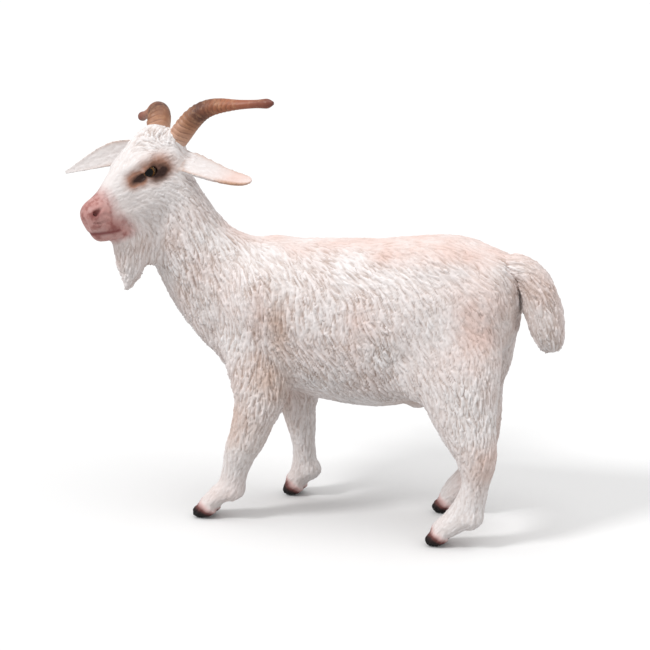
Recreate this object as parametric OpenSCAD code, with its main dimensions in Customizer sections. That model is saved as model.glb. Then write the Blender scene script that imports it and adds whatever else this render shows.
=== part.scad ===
// Billy goat figurine, solid moulded vinyl, cast in eleven pieces that plug and glue together.
// The goat stands on the floor at z = 0, looks towards -Y and has its left side on +X.
// The origin is on the floor, at the middle of the whole figurine's outline seen from above.

/* [Body] */
// Width of the barrel at its widest
barrel_width = 24; // [21:0.5:27]
// Distance between the left and the right hooves, across the body
hoof_spacing = 18; // [16:0.5:20]
// Height of the flat seams where the forelegs meet the body
fore_seam_z = 23; // [22:0.5:24]
// Height of the flat seams where the hind legs meet the body
hind_seam_z = 21; // [20:0.5:22]

/* [Head] */
// Turn of the head towards the goat's left side, in degrees
head_turn = 58; // [50:1:66]
// Nod of the head below level, in degrees
head_nod = 20; // [14:1:26]
// Lean of the head that lifts its left side, in degrees
head_lean = 5; // [0:1:8]
// Size of the horns, where 1 is the adult billy's
horn_size = 1; // [0.9:0.02:1.1]
// Size of the ears, where 1 is the adult billy's
ear_size = 1; // [0.9:0.02:1.1]

/* [Joints between the castings] */
// Radius of the plugs on the legs, the tail and the neck
plug_r = 1.6; // [1.4:0.1:1.8]
// Radius of the plugs on the horns and the ears
small_plug_r = 0.8; // [0.7:0.05:0.9]
// Glue gap around and beyond each plug
glue_gap = 0.1; // [0.05:0.05:0.2]

/* [Hidden] */

coat = "white";
horn_tan = "peru";

sides = 20;
steps = 3;
plug_len = 4;
small_plug_len = 2;
bore_fn = 48;

// Shift that brings the middle of the outline, seen from above, over the origin
shift_x = -0.6;
shift_y = 10.56;
hoof_x = hoof_spacing / 2;

// ---- Curves and lofted solids ----

function unit(v) = v / norm(v);

function spline_at(a, b, c, d, t) =
    0.5 * (2 * b + (c - a) * t + (2 * a - 5 * b + 4 * c - d) * t * t
           + (3 * b - a - 3 * c + d) * t * t * t);

// A smooth curve through the rows, whatever a row holds
function smooth_rows(rows) =
    let (last = len(rows) - 1)
    [for (i = [0:last - 1])
        let (a = i > 0 ? rows[i - 1] : 2 * rows[0] - rows[1])
        let (d = i < last - 1 ? rows[i + 2] : 2 * rows[last] - rows[last - 1])
        for (k = [0:steps - 1]) spline_at(a, rows[i], rows[i + 1], d, k / steps),
     rows[last]];

function centre(row) = [row[0], row[1], row[2]];

// Direction of travel at row i
function heading(rows, i) =
    unit(centre(rows[min(i + 1, len(rows) - 1)]) - centre(rows[max(i - 1, 0)]));

// One elliptical ring: half width along the side direction, half height across it
function ring(row, forward, side) =
    let (across = unit(side - forward * (side * forward)))
    let (upward = cross(forward, across))
    [for (k = [0:sides - 1])
        let (angle = 360 * k / sides)
        centre(row) + across * row[3] * cos(angle) + upward * row[4] * sin(angle)];

module skin(rings) {
    count = len(rings);
    walls = [for (i = [0:count - 2], k = [0:sides - 1])
        let (a = i * sides + k)
        let (b = i * sides + (k + 1) % sides)
        each [[a, b + sides, b], [a, a + sides, b + sides]]];
    first = [for (k = [0:sides - 1]) k];
    final = [for (k = [sides - 1:-1:0]) (count - 1) * sides + k];
    polyhedron(points = [for (r = rings) each r], faces = concat(walls, [first, final]));
}

// A solid whose rings stand square to its path; rows are [x, y, z, half width, half height].
// The first and the last ring face along start and finish, so that neighbours share a flat seam.
module loft(rows, side, start = undef, finish = undef) {
    fine = smooth_rows(rows);
    last = len(fine) - 1;
    skin([for (i = [0:last])
        let (facing = i == 0 && !is_undef(start) ? start
                    : i == last && !is_undef(finish) ? finish : heading(fine, i))
        ring(fine[i], facing, side)]);
}

// A solid whose rings all lie level, for a limb with a flat seam and a flat sole
module level_loft(rows) {
    fine = smooth_rows(rows);
    skin([for (row = fine) ring(row, [0, 0, sign(fine[1][2] - fine[0][2])], [1, 0, 0])]);
}

// A round plug or bore from a point, along a direction
module round_at(point, direction, radius, length) {
    d = unit(direction);
    translate(point)
        rotate([0, acos(d[2]), atan2(d[1], d[0])])
            cylinder(r = radius, h = length, $fn = bore_fn);
}

// ---- Places in the turned head ----

head_at = [4, -41, 69];
level_left = [cos(head_turn), sin(head_turn), 0];
head_forward = [sin(head_turn) * cos(head_nod), -cos(head_turn) * cos(head_nod), -sin(head_nod)];
level_up = cross(head_forward, level_left);
head_left = level_left * cos(head_lean) + level_up * sin(head_lean);
head_up = level_up * cos(head_lean) - level_left * sin(head_lean);

// A row [left, forward, up, half width, half height] in the head's own directions
function in_head(rows) =
    [for (r = rows)
        let (place = head_at + r[0] * head_left + r[1] * head_forward + r[2] * head_up)
        [place[0], place[1], place[2], r[3], r[4]]];

// A direction [left, forward, up] in the head's own directions
function head_way(d) = unit(d[0] * head_left + d[1] * head_forward + d[2] * head_up);

// The same rows on the head's other side
function other_side(rows) = [for (r = rows) [-r[0], r[1], r[2], r[3], r[4]]];

// Rows whose places and sizes grow away from the first row
function grown(rows, size) =
    [for (r = rows)
        [rows[0][0] + (r[0] - rows[0][0]) * size, rows[0][1] + (r[1] - rows[0][1]) * size,
         rows[0][2] + (r[2] - rows[0][2]) * size, r[3], r[4]]];

// ---- Rows of the outline, in millimetres ----

half_barrel = barrel_width / 2;
trunk_rows = [
    [0, 32, 46, half_barrel * 0.2, 4], [0, 30.5, 45.5, half_barrel * 0.5, 8],
    [0, 27, 45, half_barrel * 0.75, 11], [0, 19, 44.8, half_barrel * 0.9, 13.8],
    [0, 11, 42, half_barrel * 0.96, 15.3], [0, 3, 39.7, half_barrel, 16.5],
    [0, -6, 39.4, half_barrel, 16.4], [0, -15, 40.2, half_barrel * 0.93, 15.4],
    [0, -22.3, 42.2, half_barrel * 0.8, 14.4], [0.5, -28, 45, half_barrel * 0.64, 11.6],
    [1.2, -32.6, 49.4, half_barrel * 0.54, 9.4], [1.8, -35.5, 53.8, half_barrel * 0.5, 8.2]];
neck_rows = [
    trunk_rows[11], [2.8, -38, 58.8, half_barrel * 0.46, 7.7], [4, -40, 64, half_barrel * 0.42, 7],
    [4.6, -41, 69, half_barrel * 0.36, 5]];

fore_top_rows = [[4.4, -20, 42, 3.2, 5], [6.2, -19.5, 36, 4.2, 7.6], [7.6, -18.8, 29, 4.5, 6.8],
                 [8.6, -18.3, fore_seam_z, 4.2, 5.2]];
fore_rows_left = [
    [8.6, -18.3, fore_seam_z, 4.2, 5.2], [9, -19.6, 19, 3.7, 4.4], [9, -21, 15, 3.5, 3.9],
    [9, -22.8, 10, 2.7, 2.9], [9, -24.6, 6, 2.6, 2.7], [9, -27, 3, 2.7, 3.4], [9, -28.6, 0, 2.8, 3.2]];
fore_rows_right = [
    [8.6, -15.4, fore_seam_z, 4.2, 5], [9, -16.2, 19, 3.6, 4], [9, -16, 15, 3.4, 3.6],
    [9, -15, 10, 2.7, 2.9], [9, -14.8, 6, 2.6, 2.9], [9, -15.8, 3, 2.7, 3.2], [9, -17.2, 0, 2.8, 3]];
fore_top_right = [[4.4, -16.5, 42, 3.2, 5], [6.2, -16, 36, 4.2, 7.4], [7.6, -15.6, 29, 4.5, 6.4],
                  [8.6, -15.4, fore_seam_z, 4.2, 5]];
hind_top_rows = [[4, 18.5, 48, 3.6, 6], [5.8, 19.2, 41, 5, 9.6], [7, 20.5, 33, 5.2, 9.4],
                 [8.2, 22.2, 26, 4.7, 7.4], [8.6, 23.3, hind_seam_z, 4, 5.6]];
hind_rows_left = [
    [8.6, 23.3, hind_seam_z, 4, 5.6], [9, 25, 17.5, 3.5, 4.2], [9, 25, 12.5, 2.9, 2.8],
    [9, 23.6, 8, 2.7, 2.8], [9, 21.2, 4, 2.7, 3.8], [9, 18.4, 0, 2.8, 3.2]];
hind_top_right = [[4, 17, 48, 3.6, 6], [5.8, 17.2, 41, 5, 9.6], [7, 17.9, 33, 5.2, 9.2],
                  [8.2, 18.8, 26, 4.7, 7.2], [8.6, 19.8, hind_seam_z, 4, 5.4]];
hind_rows_right = [
    [8.6, 19.8, hind_seam_z, 4, 5.4], [9, 21.4, 17.5, 3.4, 3.9], [9, 20.6, 12.5, 2.9, 2.8],
    [9, 18.4, 8, 2.7, 2.8], [9, 15.8, 4, 2.7, 3.4], [9, 13.8, 0, 2.8, 3]];

dock_rows = [[0, 26, 50.5, 3, 3], [0, 29, 51.5, 3.1, 3], [0, 31.2, 51.2, 3.2, 3.1]];
tail_rows = [
    dock_rows[2], [0, 33.6, 49, 3.6, 3.6], [0, 35.4, 44.6, 3.8, 3.9], [0, 36.6, 40.6, 3.4, 3.4],
    [0, 37, 38, 2.4, 2.3], [0, 37.1, 36.6, 1.2, 1.1]];

head_rows = [
    [0, -5.6, 1.4, 2.4, 2.8], [0, -4.2, 0.8, 4.4, 5], [0, 0, -0.8, 5.5, 6.3], [0, 4, -2.4, 5.1, 6.6],
    [0, 8, -3.5, 4.3, 6.3], [0, 12, -4.3, 3.6, 5.4], [0, 15, -4.7, 3.6, 4.8], [0, 17.2, -4.7, 2.8, 3.6],
    [0, 18.2, -4.6, 1.4, 1.9]];
beard_rows = [
    [0, 9.6, -6.5, 3, 4.6], [0, 10.6, -10, 2.8, 4], [0, 12, -14, 2.3, 2.9], [0, 14, -18, 1.4, 1.6],
    [0, 15.2, -20.6, 0.5, 0.5]];
horn_stub = [[2.4, -3, 1.5, 1.7, 1.9], [3, -4.3, 2.8, 1.7, 1.9], [3.5, -5.6, 3.9, 1.7, 1.9]];
horn_rows_left = grown([
    horn_stub[2], [5, -8.1, 5.5, 1.7, 2], [7.6, -10.7, 6.2, 1.5, 1.9], [12, -12.8, 5.9, 1.2, 1.55],
    [16.5, -14.6, 4.7, 0.95, 1.1], [19.3, -15.7, 3.9, 0.95, 1], [20.2, -16, 3.7, 0.4, 0.4]], horn_size);
horn_rows_right = grown([
    horn_stub[2], [5, -8, 5.3, 1.7, 2], [8, -9.9, 5.6, 1.5, 1.9], [12.8, -10.9, 4.5, 1.2, 1.55],
    [17.4, -11.4, 2.6, 0.95, 1.1], [20.3, -11.7, 1.5, 0.95, 1], [21.2, -11.8, 1.2, 0.4, 0.4]], horn_size);
ear_stub_left = [[3, -2, 0, 1.6, 1.2], [4.4, -2.3, -0.1, 1.8, 1.2], [5.8, -2.6, -0.4, 2, 1.1]];
ear_rows_left = grown([
    ear_stub_left[2], [8.6, -3.6, -1.8, 2.4, 0.9], [12.5, -5, -4.2, 2.3, 0.8],
    [16, -6.3, -6.4, 1.8, 0.7], [18.3, -7.2, -7.7, 0.6, 0.4]], ear_size);
ear_stub_right = [[3, -2, 0.6, 1.6, 1.2], [4.4, -1.8, 0.6, 1.8, 1.2], [5.8, -1.4, 0.6, 2, 1.1]];
ear_rows_right = grown([
    ear_stub_right[2], [8.8, 0.2, 0.7, 2.5, 0.9], [13, 3, 0.2, 2.3, 0.8], [17, 5.6, -0.6, 1.6, 0.7],
    [19.8, 7.4, -1.2, 0.6, 0.4]], ear_size);

// A limb's rows moved to the wanted hoof spacing, on the left (1) or the right (-1)
function on_side(rows, hand) =
    [for (r = rows) [hand * (r[0] + hoof_x - 9), r[1], r[2], r[3], r[4]]];

// ---- Plugs: [seam centre, direction into the neighbour, radius, length] ----

function limb_plug(rows) = [centre(rows[0]), [0, 0, 1], plug_r, plug_len];
function end_plug(rows, facing, radius, length) = [centre(rows[0]), -facing, radius, length];

module plug(p) {
    // The plug starts inside its own casting, so that the two are one solid
    round_at(p[0] - unit(p[1]) * p[3] / 2, p[1], p[2], p[3] * 1.5);
}

module socket(p) {
    round_at(p[0] - unit(p[1]), p[1], p[2] + glue_gap, p[3] + glue_gap + 1);
}

// Directions that the seams face, from the neighbour into the casting that plugs in
neck_facing = unit([0.25, -0.5, 0.85]);
tail_facing = unit([0, 0.9, -0.45]);
horn_facing_left = head_way([0.45, -0.75, 0.45]);
horn_facing_right = head_way([-0.45, -0.75, 0.45]);
ear_facing_left = head_way([0.9, -0.3, -0.3]);
ear_facing_right = head_way([-0.9, 0.4, -0.1]);

// Directions of the ears' broad faces, across their length
ear_broad_left = head_way([0, 1, -0.2]);
ear_broad_right = head_way([0, 0.45, 0.9]);

neck_plug = end_plug(neck_rows, neck_facing, plug_r * 1.5, plug_len);
tail_plug = end_plug(tail_rows, tail_facing, plug_r, plug_len);
horn_plug_left = end_plug(in_head(horn_rows_left), horn_facing_left, small_plug_r, small_plug_len);
horn_plug_right = end_plug(in_head(other_side(horn_rows_right)), horn_facing_right,
                           small_plug_r, small_plug_len);
ear_plug_left = end_plug(in_head(ear_rows_left), ear_facing_left, small_plug_r, small_plug_len);
ear_plug_right = end_plug(in_head(other_side(ear_rows_right)), ear_facing_right,
                          small_plug_r, small_plug_len);
limbs = [on_side(fore_rows_left, 1), on_side(fore_rows_right, -1),
         on_side(hind_rows_left, 1), on_side(hind_rows_right, -1)];
limb_tops = [on_side(fore_top_rows, 1), on_side(fore_top_right, -1),
             on_side(hind_top_rows, 1), on_side(hind_top_right, -1)];

module placed() {
    translate([shift_x, shift_y, 0]) children();
}

// ---- Castings ----

module torso() {
    color(coat) placed() difference() {
        union() {
            loft(trunk_rows, [1, 0, 0], finish = neck_facing);
            loft(dock_rows, [1, 0, 0], finish = tail_facing);
            for (rows = limb_tops) level_loft(rows);
        }
        for (rows = limbs) socket(limb_plug(rows));
        socket(neck_plug);
        socket(tail_plug);
    }
}

module head() {
    color(coat) placed() difference() {
        union() {
            loft(neck_rows, [1, 0, 0], start = neck_facing);
            loft(in_head(head_rows), head_left);
            loft(in_head(beard_rows), head_left);
            loft(in_head(horn_stub), head_forward, finish = horn_facing_left);
            loft(in_head(other_side(horn_stub)), head_forward, finish = horn_facing_right);
            loft(in_head(ear_stub_left), ear_broad_left, finish = ear_facing_left);
            loft(in_head(other_side(ear_stub_right)), ear_broad_right, finish = ear_facing_right);
            plug(neck_plug);
        }
        for (p = [horn_plug_left, horn_plug_right, ear_plug_left, ear_plug_right]) socket(p);
    }
}

module horn(rows, facing, p) {
    color(horn_tan) placed() union() {
        loft(in_head(rows), head_forward, start = facing);
        plug(p);
    }
}

module ear(rows, broad, facing, p) {
    color(coat) placed() union() {
        loft(in_head(rows), broad, start = facing);
        plug(p);
    }
}

module tail() {
    color(coat) placed() union() {
        loft(tail_rows, [1, 0, 0], start = tail_facing);
        plug(tail_plug);
    }
}

module leg(rows) {
    color(coat) placed() union() {
        level_loft(rows);
        plug(limb_plug(rows));
    }
}

module horn_left() { horn(horn_rows_left, horn_facing_left, horn_plug_left); }
module horn_right() { horn(other_side(horn_rows_right), horn_facing_right, horn_plug_right); }
module ear_left() { ear(ear_rows_left, ear_broad_left, ear_facing_left, ear_plug_left); }
module ear_right() { ear(other_side(ear_rows_right), ear_broad_right, ear_facing_right, ear_plug_right); }
module foreleg_left() { leg(limbs[0]); }
module foreleg_right() { leg(limbs[1]); }
module hindleg_left() { leg(limbs[2]); }
module hindleg_right() { leg(limbs[3]); }

torso();
head();
horn_left();
horn_right();
ear_left();
ear_right();
tail();
foreleg_left();
foreleg_right();
hindleg_left();
hindleg_right();
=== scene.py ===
"""Looks of the billy goat figurine: moulded vinyl with carved fur, hand-painted, on a pale floor.

Every length here is in millimetres until a mesh is made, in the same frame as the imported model:
the goat looks towards -Y, its left side is on +X and the floor is z = 0.
"""

import math

import bpy
import numpy as np
import openvdb
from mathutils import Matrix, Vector


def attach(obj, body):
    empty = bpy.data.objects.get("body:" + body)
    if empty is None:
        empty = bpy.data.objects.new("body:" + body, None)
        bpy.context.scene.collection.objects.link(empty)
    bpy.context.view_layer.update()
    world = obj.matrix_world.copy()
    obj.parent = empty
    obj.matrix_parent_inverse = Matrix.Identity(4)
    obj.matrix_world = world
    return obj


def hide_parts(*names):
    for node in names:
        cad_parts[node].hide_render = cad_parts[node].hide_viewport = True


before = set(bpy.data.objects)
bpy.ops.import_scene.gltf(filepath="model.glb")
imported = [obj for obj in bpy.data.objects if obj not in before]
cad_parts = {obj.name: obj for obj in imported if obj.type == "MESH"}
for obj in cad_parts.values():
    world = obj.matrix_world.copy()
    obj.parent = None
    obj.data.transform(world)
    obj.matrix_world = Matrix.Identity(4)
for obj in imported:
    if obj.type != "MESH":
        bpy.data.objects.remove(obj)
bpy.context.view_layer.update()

MM = 0.001
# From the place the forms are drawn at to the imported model's place
SHIFT = np.array([-0.6, 10.56, 0.0])
LEFT = [1, 0, 0]

VOXEL = 0.22
WIDEST_BLEND = 5.0
# The box the body's field fills, and how high over the floor the soles are cut flat
FIELD_LOW, FIELD_HIGH, SOLE_TOP = (-21, -63, -1.5), (21, 42, 78), 4
FAR_AWAY, NEAR_SKIN = 50.0, 5.0
RING_SIDES, LOFT_STEPS, THINNEST = 40, 8, 0.05
LATTICE = 32
CELL_HASH = (73856093, 19349663, 83492791)
# How deep the bare form is sunk under full fur, so that the carved coat ends where it should
SINK = 0.3
BODY_SEED, TAIL_SEED, EAR_SEED = 11, 511, 700


# ---------------------------------------------------------------- curves and directions

def unit(v):
    v = np.asarray(v, dtype=float)
    return v / np.linalg.norm(v)


def spline(rows, steps=6):
    """A smooth curve through the rows, whatever a row holds."""
    p = np.array(rows, dtype=float)
    p = np.vstack([2 * p[0] - p[1], p, 2 * p[-1] - p[-2]])
    t = (np.arange(steps) / steps)[:, None]
    out = []
    for a, b, c, d in zip(p[:-3], p[1:-2], p[2:-1], p[3:]):
        out.append(0.5 * (2 * b + (c - a) * t + (2 * a - 5 * b + 4 * c - d) * t ** 2
                          + (3 * b - a - 3 * c + d) * t ** 3))
    return np.vstack(out + [p[-2:-1]])


def unit_rows(v):
    return v / np.linalg.norm(v, axis=1)[:, None]


def headings(points):
    return unit_rows(np.gradient(points, axis=0))


def square_to(way, side):
    """The two directions square to each way: the one nearest to side, and the other."""
    across = unit_rows(side - way * (way @ side)[:, None])
    return across, np.cross(way, across)


def turn(sides):
    """The angles of a ring's points."""
    return np.arange(sides) * 2 * math.pi / sides


def step_up(x, low, high):
    t = np.clip((np.asarray(x, dtype=float) - low) / (high - low), 0, 1)
    return t * t * (3 - 2 * t)


def sweep(root, start, finish, length, swing, widths, count=24):
    """Rows for a form that leaves its root one way and swings round to another. The swing runs
    between two shares of the length, and widths holds [share, half width, half height]."""
    share = np.linspace(0, 1, count + 1)
    turned = step_up(share, *swing)[:, None]
    way = unit_rows((1 - turned) * unit(start) + turned * unit(finish))
    walked = np.vstack([np.zeros(3), np.cumsum((way[1:] + way[:-1]) / 2, axis=0)])
    path = np.array(root) + walked * length / count
    profile = spline(widths, 8)
    return np.c_[path, np.interp(share, profile[:, 0], profile[:, 1]),
                 np.interp(share, profile[:, 0], profile[:, 2])].tolist()


HEAD_TURN, HEAD_NOD, HEAD_LEAN = (math.radians(a) for a in (58, 20, 5))
HEAD_AT = np.array([4.0, -41.0, 69.0])
_level_left = np.array([math.cos(HEAD_TURN), math.sin(HEAD_TURN), 0])
HEAD_FORWARD = np.array([math.sin(HEAD_TURN) * math.cos(HEAD_NOD),
                         -math.cos(HEAD_TURN) * math.cos(HEAD_NOD), -math.sin(HEAD_NOD)])
_level_up = np.cross(HEAD_FORWARD, _level_left)
HEAD_LEFT = _level_left * math.cos(HEAD_LEAN) + _level_up * math.sin(HEAD_LEAN)
HEAD_UP = _level_up * math.cos(HEAD_LEAN) - _level_left * math.sin(HEAD_LEAN)
HEAD_AXES = np.array([HEAD_LEFT, HEAD_FORWARD, HEAD_UP])


def head_point(left, forward, up):
    return HEAD_AT + np.array([left, forward, up]) @ HEAD_AXES


def head_way(left, forward, up):
    return unit(np.array([left, forward, up]) @ HEAD_AXES)


def head_side(hand):
    """head_point for one side of the head."""
    return lambda left, forward, up: head_point(hand * left, forward, up)


def in_head(rows, hand=1):
    """Rows [left, forward, up, half width, half height] turned into world rows."""
    return [[*head_point(hand * r[0], r[1], r[2]), *r[3:]] for r in rows]


# ---------------------------------------------------------------- lofts

def ellipse(angle):
    return np.cos(angle), np.sin(angle)


def loft(rows, side, sides=RING_SIDES, section=ellipse):
    """A closed tube of rings square to its path: points and triangles."""
    fine = spline(rows, LOFT_STEPS)
    centres = fine[:, :3]
    across, upward = square_to(headings(centres), np.asarray(side, dtype=float))
    u, v = section(turn(sides))
    half_w, half_h = np.maximum(fine[:, 3:5], THINNEST).T[:, :, None, None]
    ring = (centres[:, None, :] + across[:, None, :] * half_w * u[None, :, None]
            + upward[:, None, :] * half_h * v[None, :, None])
    return skin(ring)


def skin(ring):
    """Walls between the rings, and a cap of triangles on each end."""
    count, sides = ring.shape[:2]
    points = np.vstack([ring.reshape(-1, 3), ring[0].mean(0), ring[-1].mean(0)])
    i, k = np.meshgrid(np.arange(count - 1), np.arange(sides), indexing="ij")
    a = (i * sides + k).ravel()
    b = (i * sides + (k + 1) % sides).ravel()
    walls = np.vstack([np.c_[a, b, b + sides], np.c_[a, b + sides, a + sides]])
    k = np.arange(sides)
    after = (k + 1) % sides
    first, last = count * sides, count * sides + 1
    caps = np.vstack([np.c_[after, k, np.full(sides, first)],
                      np.c_[(count - 1) * sides + k, (count - 1) * sides + after,
                            np.full(sides, last)]])
    return points, np.vstack([walls, caps]).astype(np.int32)


# ---------------------------------------------------------------- distance fields

class Field:
    """A grid of distances to the skin of everything joined so far, negative inside."""

    def __init__(self, low, high):
        self.low = np.floor(np.array(low) / VOXEL).astype(int)
        self.shape = np.ceil(np.array(high) / VOXEL).astype(int) - self.low + 1
        self.d = np.full(self.shape, FAR_AWAY, dtype=np.float32)

    def window(self, low, high):
        a = np.clip(np.floor(np.array(low) / VOXEL).astype(int) - self.low, 0, self.shape)
        b = np.clip(np.ceil(np.array(high) / VOXEL).astype(int) + 1 - self.low, 0, self.shape)
        return tuple(slice(x, y) for x, y in zip(a, b)), a + self.low, b - a

    def join(self, mesh, blend):
        points, triangles = mesh
        band = WIDEST_BLEND + 2 * VOXEL
        box, start, size = self.window(points.min(0) - band, points.max(0) + band)
        if min(size) <= 0:
            return
        grid = openvdb.FloatGrid.createLevelSetFromPolygons(
            points.astype(np.float32), triangles=triangles.astype(np.uint32),
            transform=openvdb.createLinearTransform(VOXEL), halfWidth=band / VOXEL)
        part = np.full(size, band, dtype=np.float32)
        grid.copyToArray(part, ijk=tuple(int(v) for v in start))
        self.mix(box, part, blend)

    def cells(self, low, high):
        box, start, size = self.window(low, high)
        axes = [(start[i] + np.arange(size[i])) * VOXEL for i in range(3)]
        return box, np.stack(np.meshgrid(*axes, indexing="ij"), axis=-1)

    def ellipsoid(self, centre, radii, blend, axes=np.eye(3), cut=False):
        """Adds an ellipsoid, or cuts one out, with a soft edge."""
        centre = np.asarray(centre, dtype=float)
        reach = max(radii) + blend + VOXEL
        box, where = self.cells(centre - reach, centre + reach)
        local = (where - centre) @ axes.T / np.asarray(radii)
        size = np.linalg.norm(local, axis=-1)
        slope = np.linalg.norm(local / np.asarray(radii), axis=-1) + 1e-6
        part = (size * (size - 1) / slope).astype(np.float32)
        self.mix(box, part, blend, cut)

    def capsule(self, a, b, radius_a, radius_b, blend, cut=False):
        """Adds a round-ended rod, or cuts one out, with a soft edge."""
        a, b = np.asarray(a, dtype=float), np.asarray(b, dtype=float)
        reach = max(radius_a, radius_b) + blend + VOXEL
        box, where = self.cells(np.minimum(a, b) - reach, np.maximum(a, b) + reach)
        along = np.clip((where - a) @ (b - a) / ((b - a) @ (b - a)), 0, 1)
        gap = np.linalg.norm(where - a - along[..., None] * (b - a), axis=-1)
        part = (gap - radius_a - along * (radius_b - radius_a)).astype(np.float32)
        self.mix(box, part, blend, cut)

    def mix(self, box, part, blend, cut=False):
        whole = self.d[box]
        part = -part if cut else part
        overlap = np.clip(blend - np.abs(whole - part), 0, None) / blend
        fillet = overlap * overlap * blend / 4
        self.d[box] = np.maximum(whole, part) + fillet if cut else np.minimum(whole, part) - fillet

    def surface(self):
        grid = openvdb.FloatGrid(background=NEAR_SKIN)
        grid.transform = openvdb.createLinearTransform(VOXEL)
        near = np.clip(self.d, -NEAR_SKIN, NEAR_SKIN)
        grid.copyFromArray(near, ijk=tuple(int(v) for v in self.low))
        points, quads = grid.convertToQuads(isovalue=0.0)
        return np.asarray(points, dtype=float), np.asarray(quads).astype(np.int64)


# ---------------------------------------------------------------- the goat's forms, in millimetres

TRUNK = [
    [0, 30.6, 46.6, 2.2, 3], [0, 29.4, 46.6, 5.6, 6.8], [0, 26.6, 46.2, 8.8, 9.6],
    [0, 19, 44.4, 10.8, 13.4], [0, 11, 41.7, 11.5, 15.2], [0, 3, 39.5, 12, 16.2],
    [0, -6, 39.4, 12, 15.8], [0, -15, 40.2, 11.2, 14.6], [0, -22.3, 42, 9.6, 13.6],
    [0.5, -28, 45, 7.7, 11.6],
    [1.2, -32.6, 49.4, 6.5, 9.4], [1.8, -35.5, 53.8, 6, 8.2], [2.8, -38, 58.8, 5.5, 7.7],
    [4, -40, 64, 5, 7], [4.6, -41, 69, 4.3, 5]]

# Limbs: [x, y, z, half width, half length], every ring level
FORE_LEFT = [
    [4.4, -20, 42, 3.2, 5], [6.2, -19.3, 36, 4.2, 7.2], [7.6, -18.2, 29, 4.5, 6.2],
    [8.6, -17.9, 24, 4.2, 4.9], [9, -19.4, 19, 3.7, 4.2], [9.1, -20.9, 15, 3.5, 3.8],
    [9, -22.5, 11, 2.7, 2.9], [9, -23.4, 8, 2.5, 2.7], [9, -24.5, 6.2, 2.6, 3.2],
    [9, -25.5, 4.9, 2.6, 3.3], [9, -27.6, 3.2, 2.5, 2.6], [9, -28.6, 1.8, 2.2, 2.2]]
FORE_RIGHT = [
    [-4.4, -16.5, 42, 3.2, 5], [-6.2, -16, 36, 4.2, 7], [-7.6, -15.7, 29, 4.5, 6],
    [-8.6, -15.8, 24, 4.1, 4.6], [-9, -16.4, 19, 3.5, 3.7], [-9.1, -16.2, 16, 3.3, 3.3],
    [-9, -15.5, 11.5, 2.6, 2.5], [-9, -15.2, 8, 2.4, 2.5], [-9, -15.1, 5.4, 2.5, 3],
    [-9, -16.2, 3.8, 2.5, 2.8], [-9, -17.2, 2, 2.2, 2.2]]
HIND_LEFT = [
    [4, 18.5, 48, 3.6, 6], [5.8, 19, 41, 5, 9.2], [7.2, 20.2, 33, 5.2, 8.7],
    [8.1, 21.6, 26.5, 4.7, 6.8], [8.8, 23.5, 21, 4, 5.3], [9, 25, 17, 3.4, 3.9],
    [9, 25.1, 13, 2.7, 2.8], [9, 24.1, 9.5, 2.5, 3], [9, 22.7, 6.4, 2.6, 3.7],
    [9, 20.4, 4, 2.6, 3.6], [9, 18.6, 2, 2.3, 2.4]]
HIND_RIGHT = [
    [-4, 17, 48, 3.6, 6], [-5.8, 18, 41, 5, 10], [-7.2, 18.2, 33, 5.2, 9.2],
    [-8.1, 18.7, 26.5, 4.7, 6.7], [-8.8, 20, 21, 4, 5.1], [-9, 21.2, 17, 3.3, 3.6],
    [-9, 20.9, 13, 2.7, 2.7], [-9, 19.6, 9.5, 2.5, 2.9], [-9, 17.6, 6.4, 2.6, 3.3],
    [-9, 15.9, 4, 2.6, 2.9], [-9, 14.8, 2, 2.3, 2.3]]
LIMBS = [FORE_LEFT, FORE_RIGHT, HIND_LEFT, HIND_RIGHT]

# Hooves: [x, y of the toe's tip, how far the coronet stands behind the tip]
HOOVES = [[9, -31.8, 4.6], [-9, -19.8, 4], [9, 15.3, 4.2], [-9, 11.3, 4.2]]
# The tufted heel over each hoof: [x, y, z, radius]
HEELS = [[9, -22.9, 5.9, 1.7], [-9, -13.6, 5.4, 1.5], [9, 24.6, 5.8, 1.8], [-9, 19.6, 5.8, 1.7]]

TAIL = [
    [0, 26, 51, 3, 3], [0, 29, 51.7, 3.1, 3], [0, 31.4, 51.2, 3.2, 3],
    [0, 33.2, 48.8, 3.5, 3.3], [0, 34.6, 44.8, 3.7, 3.6], [0, 35.7, 40.8, 3.4, 3.3],
    [0, 36.5, 38, 2.5, 2.4], [0, 36.9, 36.8, 1.2, 1.2]]

# Forms in the head's own directions: [left, forward, up, half width, half height]
SKULL = [
    [0, -5.6, 1.4, 2.4, 2.8], [0, -4.2, 0.8, 4.4, 5], [0, 0, -0.8, 5.2, 6.2],
    [0, 4, -2.5, 4.7, 6.4], [0, 8, -3.9, 3.7, 5.8], [0, 12, -4.9, 3, 4.8],
    [0, 15, -5.2, 2.9, 4.1], [0, 17.2, -5.2, 2.4, 3.3], [0, 18.2, -5.2, 1.3, 1.9]]
BEARD = [
    [0, 9.2, -6.5, 3, 4.6], [0, 10.2, -10, 2.9, 4.4], [0, 11.2, -12.8, 2.7, 3.9],
    [0, 12.3, -15.2, 2.3, 3.3], [0, 13.3, -17.4, 1.9, 2.7], [0, 14.5, -19, 1.2, 1.6],
    [0, 15.7, -20.5, 0.4, 0.5]]
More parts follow.
